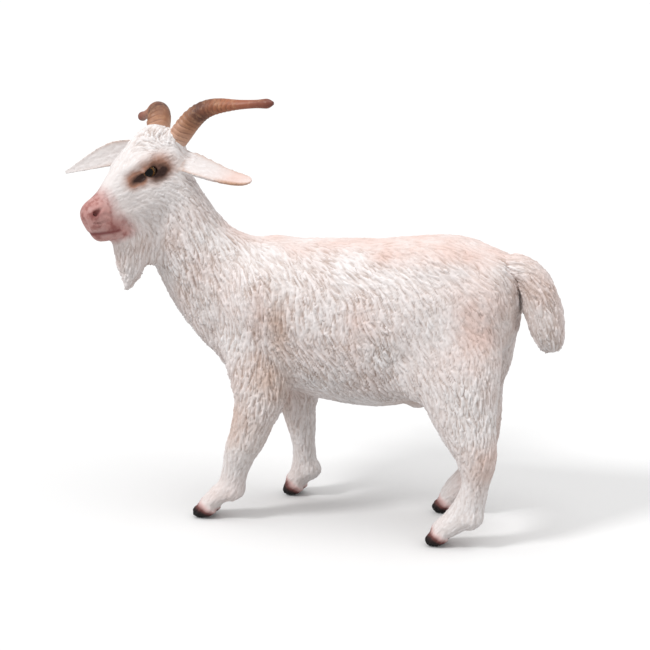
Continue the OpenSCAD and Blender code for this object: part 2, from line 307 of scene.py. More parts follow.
# How an ear and a horn swell and taper: [share of the length, half width, half height]
EAR_BLUNT = [[0, 1.9, 1.5], [0.2, 2.6, 1.5], [0.4, 2.3, 1.3], [0.6, 1.95, 1.1], [0.8, 1.6, 1],
             [0.93, 1.2, 0.85], [1, 0.5, 0.5]]
EAR_POINTED = [[0, 1.7, 1.5], [0.15, 2.1, 1.4], [0.35, 2.4, 1.3], [0.5, 2.1, 1.1], [0.7, 1.45, 0.9],
               [0.9, 0.7, 0.6], [1, 0.35, 0.35]]
HORN_TAPER = [[0, 2, 1.9], [0.12, 2.15, 2], [0.3, 2.15, 1.9], [0.5, 1.6, 1.45], [0.68, 1.05, 0.95],
              [0.84, 0.8, 0.78], [0.94, 0.95, 0.9], [0.985, 0.75, 0.7], [1, 0.35, 0.35]]
# The near ear hangs and levels out at its tip, and the far one is pricked a little forward
EAR_LEFT = sweep([3.6, -2.4, -0.6], [0.8, -0.35, -0.5], [0.93, -0.25, -0.18], 17, (0.45, 0.95),
                 EAR_BLUNT)
EAR_RIGHT = sweep([3.6, -2, 0.6], [0.8, 0.55, 0.15], [0.9, 0.42, -0.2], 21, (0, 0.7), EAR_POINTED)
# Each ear: hand, rows, and the way its broad side lies
EARS = {"left": (1, EAR_LEFT, head_way(0, 1, -0.2)),
        "right": (-1, EAR_RIGHT, head_way(0, -0.45, 0.9))}
# The last row of an ear's stub on the head, and the row in it that the ear's piece starts from
EAR_STUB, EAR_START = 6, 4
# The horns rise backwards from the poll, then sweep outwards
HORN_LEFT = sweep([2.6, -3.2, 0.8], [0.35, -0.75, 0.55], [0.9, -0.42, -0.12], 24.5, (0.15, 0.6),
                  HORN_TAPER)
HORN_RIGHT = sweep([2.6, -3.2, 1.2], [0.34, -0.68, 0.62], [0.94, -0.12, -0.28], 20, (0.15, 0.6),
                   HORN_TAPER)
EYE = [3.55, 4, -0.7]
EYE_RADIUS = 1.5


def level_loft(rows):
    """A limb, every ring of it level."""
    fine = spline(rows, LOFT_STEPS)
    angle = turn(RING_SIDES)
    ring = np.repeat(fine[:, None, :3], RING_SIDES, axis=1)
    ring[:, :, 0] += fine[:, 3:4] * np.cos(angle)
    ring[:, :, 1] -= fine[:, 4:5] * np.sin(angle)
    return skin(ring)


def leaf(angle):
    """The section of an ear: a dome outside and a hollow inside."""
    rise = np.abs(np.sin(angle))
    return np.cos(angle), np.where(np.sin(angle) >= -1e-9, 0.3 + 0.75 * rise, -0.25 + 0.3 * rise)


def toes(x, tip, back):
    """The two claws of a hoof."""
    for hand in (-1, 1):
        yield [[x + hand * 1.1, tip + back, 2.7, 1.4, 1.6],
               [x + hand * 1.2, tip + back * 0.7, 1.9, 1.45, 1.7],
               [x + hand * 1.25, tip + back * 0.4, 1.3, 1.25, 1.4],
               [x + hand * 1.1, tip + 0.7, 0.8, 0.75, 0.8]]


def build_field():
    field = Field(FIELD_LOW, FIELD_HIGH)
    field.join(loft(TRUNK, LEFT), 0.5)
    for rows in LIMBS:
        field.join(level_loft(rows), 1.8)
    for hand in (-1, 1):
        # Hip bones, shoulder blades and the fold in front of the thigh
        field.ellipsoid([hand * 5, 17, 52.4], [3.2, 5.5, 3.2], 2.5)
        field.ellipsoid([hand * 7, -18, 43], [3.6, 5, 7], 3)
        field.ellipsoid([hand * 8.2, 12.5, 31.5], [2, 3, 4], 3)
    # Brisket and sheath
    field.ellipsoid([0, -24.5, 32], [4.5, 4, 5], 2.5)
    field.ellipsoid([0, 10.8, 25.3], [1.6, 2.3, 2], 1.2)
    for x, tip, back in HOOVES:
        for rows in toes(x, tip, back):
            field.join(loft(rows, LEFT, sides=24), 0.35)
    for x, y, z, radius in HEELS:
        field.ellipsoid([x, y, z], [radius * 1.3, radius, radius], 1.6)
        for hand in (-1, 1):
            field.ellipsoid([x + hand * 1.2, y - 0.2, z - radius * 0.75], [0.6, 0.75, 0.6], 0.4)

    # Head
    field.join(loft(in_head(SKULL), HEAD_LEFT), 3)
    field.join(loft(in_head(BEARD), HEAD_LEFT), 1.6)
    field.capsule(head_point(0, 5.5, -9), head_point(0.4, 8.2, -16.9), 3, 1.8, 1.6)
    for hand, rows, broad in EARS.values():
        field.join(loft(in_head(rows[:EAR_STUB + 1], hand), broad, section=leaf), 1.0)
    for hand in (-1, 1):
        # Cheek, side of the nose, root of the horn, brow and cheekbone
        at = head_side(hand)
        field.ellipsoid(at(2.4, 3.2, -6), [2.4, 4.4, 3.2], 2.5, HEAD_AXES)
        field.ellipsoid(at(1.3, 15.6, -4), [1.7, 2.3, 2.2], 1.0, HEAD_AXES)
        field.ellipsoid(at(2.9, -4, 2.2), [2.2, 2.2, 2], 1.5, HEAD_AXES)
        field.capsule(at(2.6, 7.2, 1.1), at(4.4, 3.4, 1.6), 0.7, 0.85, 1.4)
        field.capsule(at(3.2, 1.2, -1), at(4.3, -1.6, -1.6), 0.8, 1.0, 1.5)
        eye_cut(field, at)
        nostril_cut(field, at)
    # Forelock, chin and the parting of the lips
    field.ellipsoid(head_point(0, -1, 3.9), [2.2, 3.4, 1], 1.8, HEAD_AXES)
    field.ellipsoid(head_point(0, 14.6, -8.2), [2.2, 2.9, 1.5], 1.2, HEAD_AXES)
    mouth_cut(field)
    # The soles stand flat on the floor
    box, where = field.cells(FIELD_LOW, (*FIELD_HIGH[:2], SOLE_TOP))
    field.d[box] = np.maximum(field.d[box], -where[..., 2])
    return field


def eye_cut(field, at):
    """The socket, with a thick upper lid and a thin lower one."""
    field.ellipsoid(at(4.5, EYE[1], EYE[2]), [0.9, 1.5, 1.0], 0.5, HEAD_AXES, cut=True)
    steps = 7
    for thickness, rise, lift in ((0.36, 1.05, 0.05), (0.26, -0.95, 0.0)):
        arc = []
        for i in range(steps + 1):
            angle = math.pi * i / steps
            arc.append(at(4.05 + 0.5 * math.sin(angle), EYE[1] + 1.45 * math.cos(angle),
                          EYE[2] + lift + rise * math.sin(angle)))
        for a, b in zip(arc[:-1], arc[1:]):
            field.capsule(a, b, thickness, thickness, 0.3)
    # Tear groove towards the muzzle, and the wrinkles over the lid
    field.capsule(at(4.25, EYE[1] + 1.7, EYE[2] - 0.2), at(3.75, EYE[1] + 4.2, EYE[2] - 1.3),
                  0.3, 0.15, 0.4, cut=True)
    for k in range(2):
        lift = 1.75 + 0.55 * k
        field.capsule(at(4.5 - 0.15 * k, EYE[1] - 1.2, EYE[2] + lift),
                      at(4.2 - 0.2 * k, EYE[1] + 1.4, EYE[2] + lift + 0.1), 0.16, 0.12, 0.3, cut=True)


def nostril_cut(field, at):
    """The comma of the nostril, then the folds of the upper lip."""
    field.capsule(at(1.3, 17.6, -4.2), at(2.3, 16.7, -3.2), 0.3, 0.42, 0.4, cut=True)
    field.capsule(at(2.3, 16.7, -3.2), at(2.9, 15.2, -2.8), 0.35, 0.12, 0.4, cut=True)
    field.capsule(at(2.2, 17.3, -4.9), at(3.1, 15.2, -5.7), 0.2, 0.12, 0.4, cut=True)
    field.capsule(at(3.1, 15.6, -4), at(3.3, 13.8, -5.6), 0.16, 0.1, 0.35, cut=True)


def mouth_cut(field):
    line = [[0, 18.7, -7], [1.5, 18.1, -7.1], [2.5, 16.8, -7.5], [3.2, 15, -8], [3.4, 13.4, -8.5]]
    for hand in (-1, 1):
        at = head_side(hand)
        for a, b in zip(line[:-1], line[1:]):
            field.capsule(at(*a), at(*b), 0.3, 0.3, 0.45, cut=True)
    # The cleft of the upper lip
    field.capsule(head_point(0, 18.4, -3.6), head_point(0, 18.4, -6.2), 0.18, 0.25, 0.35, cut=True)


# ---------------------------------------------------------------- how the fur lies

# [x, y, z, heading x, y, z, relief, tuft length, tuft width], mirrored to the right side
FUR_BODY = [
    # Along the spine
    [0, -28, 57.5, 0, 1, -0.35, 0.22, 2.6, 0.8], [0, -15, 56, 0, 1, -0.1, 0.16, 2.6, 0.8],
    [0, 0, 56.5, 0, 1, 0, 0.14, 2.4, 0.75], [0, 14, 58, 0, 1, 0, 0.14, 2.4, 0.75],
    [0, 25, 56.5, 0, 1, -0.3, 0.16, 2.6, 0.75],
    # Upper side
    [6.5, -24, 53, 0.2, 0.55, -0.8, 0.28, 3, 0.85], [7.5, -12, 52.5, 0.3, 0.7, -0.7, 0.28, 2.8, 0.8],
    [7.5, 0, 52.5, 0.3, 0.75, -0.6, 0.26, 2.8, 0.8], [7.5, 12, 54, 0.3, 0.85, -0.45, 0.2, 2.6, 0.75],
    [7.5, 22, 53, 0.2, 0.85, -0.5, 0.2, 2.8, 0.75],
    # Middle of the side
    [11, -22, 44, 0, 0.2, -1, 0.34, 3.2, 0.85], [12, -13, 43, 0, 0.2, -1, 0.4, 3.4, 0.85],
    [12, -5, 41, 0, 0.3, -1, 0.34, 3.2, 0.8], [12, 4, 41, 0, 0.35, -1, 0.32, 3, 0.8],
    [11, 13, 44, 0, 0.4, -0.95, 0.26, 3, 0.75], [10, 21, 45, 0, 0.45, -0.9, 0.2, 2.8, 0.75],
    [7, 29, 45, 0, 0.4, -0.9, 0.22, 2.8, 0.75],
    # Lower side
    [10, -20, 34, 0, 0.05, -1, 0.36, 3, 0.85], [11, -11, 32, 0, 0.25, -1, 0.42, 3.4, 0.85],
    [10, -2, 30, -0.1, 0.35, -0.95, 0.36, 3.2, 0.8], [9.5, 7, 30, -0.1, 0.35, -0.95, 0.34, 3, 0.8],
    # Belly, groin and inner legs
    [0, -18, 24, 0, 1, 0, 0.12, 2.2, 0.7], [0, -5, 23, 0, 1, 0, 0.1, 2.2, 0.7],
    [0, 8, 24, 0, 1, 0, 0.1, 2.2, 0.7], [5, -4, 24.5, -0.5, 0.8, -0.2, 0.18, 2.4, 0.75],
    [3, 20, 28, 0, 0.2, -1, 0.12, 2, 0.7], [5.5, 16, 25, 0, 0.1, -1, 0.16, 2.2, 0.7],
    # Chest and neck
    [0, -33, 38, 0, 0.35, -1, 0.36, 3.2, 0.9], [0, -27, 29, 0, 0.3, -1, 0.34, 3, 0.85],
    [6.5, -28, 42, 0, 0.2, -1, 0.42, 3.4, 0.9], [7, -26, 34, 0, 0.1, -1, 0.4, 3.2, 0.9],
    [0, -41.5, 48, 0, 0.45, -0.9, 0.36, 3.2, 0.9], [6.5, -34, 50, 0, 0.35, -0.95, 0.42, 3.4, 0.9],
    [7, -28, 50, 0, 0.45, -0.9, 0.36, 3.2, 0.9], [6.5, -38, 58, 0, 0.35, -0.95, 0.34, 2.8, 0.85],
    [4.5, -33, 60, 0, 0.6, -0.8, 0.26, 2.6, 0.8],
    # Rump and thigh
    [3, 32, 42, 0, 0.05, -1, 0.2, 2.8, 0.75], [9, 25, 38, 0, 0.25, -1, 0.2, 2.8, 0.75],
    [10.5, 18, 36, 0, 0.4, -0.9, 0.24, 3, 0.75], [10.5, 14, 31, 0, 0.35, -0.95, 0.26, 2.8, 0.75],
    [9.5, 27, 30, 0, 0, -1, 0.24, 2.8, 0.8], [10, 21, 28, 0, 0.15, -1, 0.26, 2.8, 0.75],
    # Legs
    [9.5, 24, 20, 0, 0.1, -1, 0.22, 2.4, 0.75], [9.5, 25, 14, 0, 0, -1, 0.16, 2, 0.7],
    [9.5, 23, 8, 0, -0.3, -1, 0.13, 1.8, 0.65], [9.5, 20, 4.5, 0, -0.7, -0.7, 0.1, 1.6, 0.6],
    [10, -18, 26, 0, -0.1, -1, 0.34, 2.8, 0.8], [10, -19, 20, 0, -0.15, -1, 0.24, 2.4, 0.75],
    [9.5, -21, 14, 0, -0.2, -1, 0.16, 2, 0.7], [9.5, -23.5, 8, 0, -0.35, -1, 0.12, 1.8, 0.65],
    [9.5, -27, 4, 0, -0.7, -0.7, 0.1, 1.6, 0.6], [9, -15, 8, 0, -0.1, -1, 0.14, 1.8, 0.65],
    [9, -17, 4, 0, -0.6, -0.8, 0.1, 1.6, 0.6], [9, 17, 5, 0, -0.6, -0.8, 0.1, 1.6, 0.6],
]

# [left, forward, up, heading left, forward, up, relief, tuft length, tuft width]
FUR_HEAD = [
    [0, 16.5, -1.2, 0, -1, 0.2, 0.0, 1, 0.5], [0, 18.3, -5, 0, 0, -1, 0.0, 1, 0.5],
    [2.6, 16, -5, 0, -1, 0, 0.0, 1, 0.5], [2, 15, -8.5, 0, -1, 0, 0.02, 1, 0.5],
    [0, 12, 0.8, 0, -1, 0.2, 0.05, 1.3, 0.5], [0, 7, 3.2, 0, -1, 0.3, 0.09, 1.6, 0.55],
    [0, 3.2, 4.8, 0, -0.9, 0.3, 0.16, 2, 0.65], [0, -0.5, 6, 0.1, 1, -0.3, 0.36, 2.8, 0.85],
    [1.8, -1.5, 5.6, 0.4, 0.9, -0.4, 0.32, 2.6, 0.8], [3, 1, 4, 0.5, -0.3, -0.4, 0.2, 2, 0.65],
    [3.6, 11, -3.5, 0, -1, -0.1, 0.06, 1.2, 0.5], [4.4, 7.5, -4.5, 0, -1, -0.35, 0.11, 1.6, 0.55],
    [4.6, 9, -1.6, 0, -1, 0.1, 0.07, 1.4, 0.5], [5, 4.6, 2.4, 0.1, -0.9, 0.3, 0.08, 1.4, 0.5],
    [5, 1, 0.5, 0, -1, -0.1, 0.1, 1.6, 0.55], [5.2, 3.5, -3.2, 0, -0.9, -0.45, 0.12, 1.8, 0.6],
    [5.2, 2, -7, 0, -0.6, -0.8, 0.18, 2.2, 0.65], [5.4, -2.5, -5, 0, -0.5, -0.9, 0.2, 2.2, 0.7],
    [4.8, -4, -1, 0, -0.4, -0.9, 0.2, 2.2, 0.7], [0, 9, -9, 0, -0.7, -0.7, 0.14, 2.2, 0.7],
    [2.6, 5, -9.5, 0, -0.5, -0.9, 0.18, 2.4, 0.7], [0, -6.5, 2, 0, -0.5, -1, 0.22, 2.4, 0.75],
    [3, -6, 1, 0, -0.4, -1, 0.22, 2.2, 0.7],
]


def along_path(rows, relief, length, width, steps=4):
    """Guides down the middle of a form, so that its fur follows it from root to tip."""
    fine = spline(rows, steps)
    way = headings(fine[:, :3])
    return [[*p[:3], *w, relief, length, width] for p, w in zip(fine, way)]


def as_given(*values):
    return values


def fur_guides():
    """Every guide in world directions, and how soft the edge of its reach is."""
    rows, softness = [], []
    for table, place, aim, soft in ((FUR_BODY, as_given, as_given, 5.0),
                                    (FUR_HEAD, head_point, head_way, 1.5)):
        for row in table:
            for hand in ((-1, 1) if row[0] else (1,)):
                rows.append([*place(hand * row[0], *row[1:3]), *aim(hand * row[3], *row[4:6]),
                             *row[6:]])
                softness.append(soft)
    for extra, soft in ((along_path(TAIL[1:], 0.3, 4, 0.85), 2.0),
                        (along_path(in_head(BEARD[1:]), 0.26, 4.5, 0.7), 1.5),
                        (along_path(in_head(EAR_LEFT[2::4]), 0.06, 1.8, 0.6, 1), 1.5),
                        (along_path(in_head(EAR_RIGHT[2::4], -1), 0.06, 1.8, 0.6, 1), 1.5)):
        rows += extra
        softness += [soft] * len(extra)
    return np.array(rows, dtype=float), np.array(softness)


def spread_guides(points, guides, softness):
    """Each guide's values carried to the points, the nearest guides counting most."""
    out = np.empty((len(points), guides.shape[1] - 3))
    for start in range(0, len(points), 20000):
        part = points[start:start + 20000]
        gap2 = ((part[:, None, :] - guides[None, :, :3]) ** 2).sum(2)
        weight = (gap2 + softness[None, :]) ** -3
        weight /= weight.sum(1)[:, None]
        out[start:start + 20000] = weight @ guides[:, 3:]
    return out


def noise(points, size, seed):
    """Smooth random values from -1 to 1 that change over about size millimetres."""
    lattice = np.random.default_rng(seed).uniform(-1, 1, (LATTICE, LATTICE, LATTICE))
    q = np.asarray(points) / size + 100
    whole = np.floor(q).astype(int)
    t = q - whole
    t = t * t * (3 - 2 * t)
    out = 0.0
    for i, j, k in np.ndindex(2, 2, 2):
        corner = lattice[tuple(((whole + (i, j, k)) % LATTICE).T)]
        part = (t[:, 0] if i else 1 - t[:, 0]) * (t[:, 1] if j else 1 - t[:, 1])
        out = out + corner * part * (t[:, 2] if k else 1 - t[:, 2])
    return out


# ---------------------------------------------------------------- carving the tufts

def scatter(points, spacing, seed):
    """About one point in each cube of the given size, picked at random."""
    rng = np.random.default_rng(seed)
    order = rng.permutation(len(points))
    cell = np.floor(points[order] / spacing + rng.uniform(0, 1, 3)).astype(np.int64)
    key = np.bitwise_xor.reduce(cell * CELL_HASH, axis=1)
    return order[np.unique(key, return_index=True)[1]]


def carve(points, normals, tufts, cell=3.0):
    """The height of the highest tuft over each point."""
    height = np.zeros(len(points))
    reach = tufts["length"].max()
    low = points.min(0) - cell
    key_p = np.floor((points - low) / cell).astype(int)
    size = key_p.max(0) + 2
    flat_p = (key_p[:, 0] * size[1] + key_p[:, 1]) * size[2] + key_p[:, 2]
    order = np.argsort(flat_p, kind="stable")
    starts = np.flatnonzero(np.r_[True, np.diff(flat_p[order]) > 0])
    ends = np.r_[starts[1:], len(order)]
    middle = tufts["root"] + tufts["way"] * (0.5 * tufts["length"])[:, None]
    for a, b in zip(starts, ends):
        chosen = order[a:b]
        p = points[chosen]
        lo, hi = p.min(0) - 0.6 * reach, p.max(0) + 0.6 * reach
        near = np.flatnonzero(((middle > lo) & (middle < hi)).all(1))
        if not len(near):
            continue
        tuft = {name: value[near] for name, value in tufts.items()}
        rel = p[:, None, :] - tuft["root"]
        u = (rel * tuft["way"]).sum(2) / tuft["length"]
        side = (rel * tuft["side"]).sum(2)
        depth = (rel * tuft["normal"]).sum(2)
        agree = normals[chosen] @ tuft["normal"].T
        half = tuft["width"] * 0.5
        bend = tuft["bend"] * u * u * tuft["length"]
        inside = np.clip(u, 0.0, 1.0)
        leaf_width = 1.75 * np.sqrt(inside) * (1 - inside) ** 0.45 + 0.02
        v = (side - bend) / (half * leaf_width)
        ridge = np.clip(1 - v * v, 0, None) ** 0.8
        rise = inside ** 0.8 * (1 - step_up(u, 0.86, 1.0))
        ok = (u > 0) & (u < 1) & (np.abs(depth) < 1.5) & (agree > 0.3)
        height[chosen] = np.where(ok, tuft["height"] * ridge * (0.25 + 0.75 * rise), 0).max(1)
    return height


def tuft_set(points, normals, guides, softness, spacing, scale, seed):
    """Tufts spread over the skin: where they are rooted, how they lie and how large they are."""
    roots = scatter(points, spacing, seed)
    rng = np.random.default_rng(seed + 1)
    at, normal = points[roots], normals[roots]
    values = spread_guides(at, guides, softness)
    way = values[:, :3]
    angle = 0.3 * noise(at, 5.0, 13) + 0.16 * noise(at, 1.9, 14) + rng.normal(0, 0.1, len(at))
    way = way - normal * (way * normal).sum(1)[:, None]
    way /= np.linalg.norm(way, axis=1)[:, None] + 1e-9
    side = np.cross(normal, way)
    way = way * np.cos(angle)[:, None] + side * np.sin(angle)[:, None]
    side = np.cross(normal, way)
    length = scale * values[:, 4] * rng.uniform(0.75, 1.35, len(at))
    return {"root": at - way * (0.5 * length)[:, None], "way": way, "side": side, "normal": normal,
            "length": length,
            "width": scale ** 0.7 * values[:, 5] * rng.uniform(0.8, 1.25, len(at)),
            "height": values[:, 3] * rng.uniform(0.55, 1.2, len(at)),
            "bend": rng.normal(0, 0.13, len(at))}


# ---------------------------------------------------------------- mesh helpers

def vertex_normals(points, quads):
    diagonal_a = points[quads[:, 2]] - points[quads[:, 0]]
    diagonal_b = points[quads[:, 3]] - points[quads[:, 1]]
    face = np.cross(diagonal_a, diagonal_b)
    out = np.zeros_like(points)
    for k in range(4):
        for axis in range(3):
            out[:, axis] += np.bincount(quads[:, k], face[:, axis], len(points))
    return out / (np.linalg.norm(out, axis=1)[:, None] + 1e-12)


def relax(points, quads, amount, rounds):
    """Evens out the grid's steps: points move towards the middle of their neighbours and back."""
    a = np.r_[quads[:, 0], quads[:, 1], quads[:, 2], quads[:, 3]]
    b = np.r_[quads[:, 1], quads[:, 2], quads[:, 3], quads[:, 0]]
    count = np.bincount(a, minlength=len(points)) + np.bincount(b, minlength=len(points))
    for step in range(rounds):
        total = np.empty_like(points)
        for axis in range(3):
            total[:, axis] = (np.bincount(a, points[b, axis], len(points))
                              + np.bincount(b, points[a, axis], len(points)))
        target = total / count[:, None]
        points = points + (amount if step % 2 == 0 else -amount * 0.98) * (target - points)
    return points


# ---------------------------------------------------------------- the coat: fur, seams and paint

def fur_height(points, normals, seed):
    """How far the carved fur stands out over each point of the bare form, where its crests and its
    cuts are, and how deep it is there."""
    guides, softness = fur_guides()
    locks, fine, cuts = (tuft_set(points, normals, guides, softness, spacing, scale, seed + more)
                         for spacing, scale, more in ((2.0, 1.9, 0), (0.8, 0.95, 40), (0.85, 0.95, 60)))
    locks["height"] *= 0.6
    cuts["width"] *= 0.5
    cuts["height"] *= 1.35
    low = carve(points, normals, locks, 5.0)
    high = carve(points, normals, fine)
    deep = carve(points, normals, cuts)
    reach = spread_guides(points, guides, softness)[:, 3]
    swell = 0.35 * reach * noise(points, 4.5, seed + 80)
    height = low + high * (1 + 0.25 * noise(points, 3.0, seed + 81)) + swell - deep
    return height, high / (reach + 0.03), deep / (reach + 0.03), reach


def spot(at, row):
    """A soft patch, 1 in its middle, of a row with its centre and its three half widths."""
    return np.exp(-sum(((a - c) / r) ** 2 for a, c, r in zip(at, row[:3], row[3:6])))


def coat_paint(points, crest, cut, reach):
    """What the painter's brush left where, painted shade among it, as values from 0 to 1 for each
    point.
    """
    local = (points - HEAD_AT) @ HEAD_AXES.T
    left, forward, up = np.abs(local[:, 0]), local[:, 1], local[:, 2]
    from_head = np.linalg.norm(local, axis=1)
    near_head = from_head < 30
    x, y, z = points.T

    def dab(*row):
        return near_head * spot((left, forward, up), row)

    def washed(patches, under):
        for row in patches:
            under = np.maximum(under, row[6] * spot((np.abs(x), y, z), row))
        return under

    mottle = noise(points, 6.0, 301)
    # The back is pink all along, and the face stays white
    pink = 0.75 * step_up(z + 1.6 * mottle, 51.5, 55.5) * step_up(y + 3 * mottle, -31, -22)
    pink = np.clip(washed(PINK_PATCHES, pink) + 0.14 + 0.34 * mottle, 0, 1)
    pink = pink * step_up(from_head, 9, 17) * (1 - (from_head < 24) * (up > -3))
    # The eye's surround, darkest round the lids and running forward and down from the corner
    wobble = 1 + 0.2 * noise(points, 1.3, 309) + 0.12 * noise(points, 0.5, 310)
    halo = np.maximum(dab(4.4, EYE[1] - 1.2, EYE[2] + 0.1, 3.5, 3.9, 2.6),
                      0.95 * dab(4.0, EYE[1] + 2.6, EYE[2] - 0.2, 3.2, 2.8, 1.9)) * wobble
    core = np.maximum(dab(4.4, EYE[1] - 1.3, EYE[2] - 0.5, 3, 3.1, 2.3),
                      0.95 * dab(4.0, EYE[1] + 2.3, EYE[2] - 0.3, 3, 2.2, 1.0)) * wobble
    core = np.maximum(core, 0.6 * dab(5.2, -2.6, -2.8, 1.8, 1.5, 0.9))
    rose = near_head * step_up(forward - 0.42 * (up + 5) * (up < -5) + 0.5 * noise(points, 2.2, 305),
                               11.0, 15.0) * step_up(up, -11.5, -9.5) * (forward < 30)
    # Painted shade in the nostril, along the parting of the lips and in the corner of the mouth
    deep = np.maximum(dab(2.3, 16.8, -3.3, 0.95, 1.0, 0.75),
                      0.9 * near_head * mouth_shade(forward, up))
    deep = np.maximum(deep, 0.55 * dab(3.2, 14.6, -7.6, 1.6, 1.7, 0.9))
    hoof = np.zeros(len(points))
    chipped = 0.08 * noise(points, 1.0, 306)
    for hx, tip, back in HOOVES:
        along = 0.75 * (y - tip) / back + 0.3 * z + chipped
        here = (np.abs(x - hx) < 5) & (np.abs(y - tip - 3) < 9) & (z < 8)
        hoof = np.where(here, np.clip(1.35 - 0.8 * along, 0, 1), hoof)
    paint = {"crest": crest, "cut": cut, "fur": reach / 0.3, "pink": pink,
             "tan_and_shade": washed(TAN_AND_SHADE_PATCHES, np.zeros(len(points))), "halo": halo, "core": core,
             "rose": rose, "deep": deep, "hoof": hoof, "inner_and_edge_shade": ear_inside_and_edge_shade(points)}
    return {name: np.clip(value, 0, 1) for name, value in paint.items()}


# Washes of thin paint, and in the tan ones painted shade too: [side, y, z, half widths in x, y, z,
# strength]
PINK_PATCHES = [
    [9, 25, 43, 8, 5.5, 7.5, 0.95], [10, -17, 44, 6, 2.2, 9, 0.55], [11, 3, 40, 6, 3.5, 9, 0.45],
    [0, 33, 50, 6, 5, 4, 0.6], [0, 38.5, 44, 3.5, 1.8, 6, 0.6], [9, 27, 17, 4, 3.5, 5, 0.7],
    [9, -20.5, 22, 4.5, 5, 4.5, 0.75], [5, -34, 60, 5, 4, 6, 0.5], [6, -30, 50, 6, 3, 5, 0.3],
    [9.5, -44, 49, 4, 4, 6, 0.5],
]
# Tan wash, with painted shade behind the shoulder, under the belly, inside the thighs and under the
# tail
TAN_AND_SHADE_PATCHES = [
    [9, -15, 29, 5, 3.8, 5, 0.9], [9, -20.5, 20, 5, 5, 6, 0.85], [10, -13, 39, 5, 2.3, 7, 0.75],
    [9, 26.5, 17, 4, 2.5, 4, 0.5], [3, 12, 25, 4.5, 6, 2.2, 0.5], [4, 17, 30, 3, 6, 6, 0.35],
    [4, -14, 26, 4.5, 5, 4, 0.4], [3.5, 31.5, 41, 3, 2.5, 7, 0.5],
]


def mouth_shade(forward, up):
    """The dark line between the lips, which drops towards the corner of the mouth."""
    line = -7.05 - 0.3 * np.clip(18 - forward, 0, None)
    return step_up(forward, 12.6, 14) * np.exp(-((up - line) / 0.42) ** 2)


def ear_inside_and_edge_shade(points):
    """1 on the hollow side of each ear, and, as painted shade, along the near ear's lower edge towards
    its tip.
    """
    out = np.zeros(len(points))
    for hand, rows, broad in EARS.values():
        fine = np.array(in_head(rows, hand))
        way = headings(fine[:, :3])
        near = np.flatnonzero(np.linalg.norm(points - fine[len(fine) // 2, :3], axis=1) < 12)
        if not len(near):
            continue
        gap = np.linalg.norm(points[near][:, None, :] - fine[None, :, :3], axis=2)
        k = gap.argmin(1)
        share = k / (len(fine) - 1)
        across, upward = square_to(way[k], broad)
        rel = points[near] - fine[k, :3]
        height = (rel * upward).sum(1)
        lower = (rel * across).sum(1) / fine[k, 3] if hand > 0 else np.zeros(len(near))
        inside = step_up(-height, -0.02, 0.3) * step_up(share, 0.1, 0.25)
        # Painted shade along the near ear's lower edge
        edge = step_up(lower, 0.4, 0.85) * step_up(share, 0.45, 0.7)
        out[near] = np.maximum(inside, edge) * (gap.min(1) < 3.4)
    return out


NECK_SEAM, NECK_WAY = np.array([1.8, -35.5, 52.4]), unit([0.3, -0.65, 0.7])
# How high the seams of the legs are, and a height over both that is still under the belly
FORE_SEAM, HIND_SEAM, LEG_TOP = 23, 21, 27


def seams(points):
    """Each piece that parts from the torso: its seam's middle, the way it faces, and the points
    that could be past it."""
    x, y, z = points.T
    yield "head", NECK_SEAM, NECK_WAY, y < -8
    for name, rows, level, where in (
            ("foreleg_left", FORE_LEFT, FORE_SEAM, (y < 0) & (x > 3.2)),
            ("foreleg_right", FORE_RIGHT, FORE_SEAM, (y < 0) & (x < -3.2)),
            ("hindleg_left", HIND_LEFT, HIND_SEAM, (y > 0) & (x > 2)),
            ("hindleg_right", HIND_RIGHT, HIND_SEAM, (y > 0) & (x < -2))):
        row = min(rows, key=lambda r: abs(r[2] - level))
        yield name, np.array([row[0], row[1], level]), np.array([0, 0, -1.0]), (z < LEG_TOP) & where


def furred(field, seed):
    """A field's surface with its fur carved: points, faces and the paint at each point."""
    points, quads = field.surface()
    points = relax(points, quads, 0.6, 2)
    normals = vertex_normals(points, quads)
    height, crest, cut, reach = fur_height(points, normals, seed)
    paint = coat_paint(points, crest, cut, reach)
    points = points + normals * (height - SINK * np.clip(reach / 0.2, 0, 1))[:, None]
    return points, quads, paint


